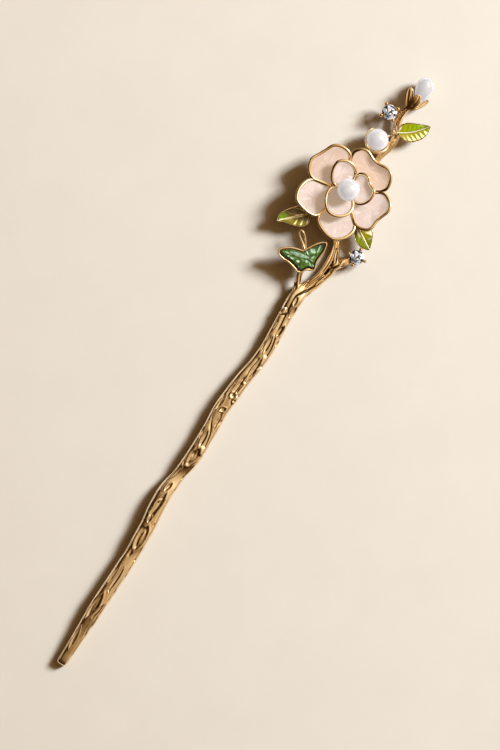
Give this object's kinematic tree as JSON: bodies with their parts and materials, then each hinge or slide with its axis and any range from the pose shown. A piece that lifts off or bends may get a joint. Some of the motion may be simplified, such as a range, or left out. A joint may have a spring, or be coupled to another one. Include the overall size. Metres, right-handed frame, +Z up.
{
  "type": "hair stick",
  "caption": "Gilt hair stick with a bark-textured shaft, a two-layer enamelled flower, enamelled leaves and butterfly, pearls and small clear stones.",
  "frame": {"origin": "middle of the bounding box in plan, on the surface that the stick lies on", "axes": "+X from the stick's tip to its head, +Z up from the surface to the side that shows, +Y to the butterfly's side"},
  "size_m": [0.1798, 0.0264, 0.0118],
  "materials": {
    "gilt": "polished gilt",
    "peach_enamel": "pearly gloss enamel",
    "lime_enamel": "translucent gloss enamel",
    "green_enamel": "marbled gloss enamel",
    "pearl": "pearl lustre",
    "clear_stone": "faceted, polished"
  },
  "bodies": {
    "root": {"twig": "gilt", "outer_petals": "gilt", "inner_petals": "gilt", "outer_enamel_a": "peach_enamel", "outer_enamel_b": "peach_enamel", "outer_enamel_c": "peach_enamel", "outer_enamel_d": "peach_enamel", "outer_enamel_e": "peach_enamel", "inner_enamel_a": "peach_enamel", "inner_enamel_b": "peach_enamel", "inner_enamel_c": "peach_enamel", "upper_leaf_front": "lime_enamel", "upper_leaf_back": "lime_enamel", "left_leaf_front": "lime_enamel", "left_leaf_back": "lime_enamel", "lower_leaf_front": "lime_enamel", "lower_leaf_back": "lime_enamel", "butterfly_enamel": "green_enamel", "centre_pearl": "pearl", "bud_pearl": "pearl", "drop_pearl": "pearl", "upper_stone": "clear_stone", "lower_stone": "clear_stone"}
  },
  "joints": []
}
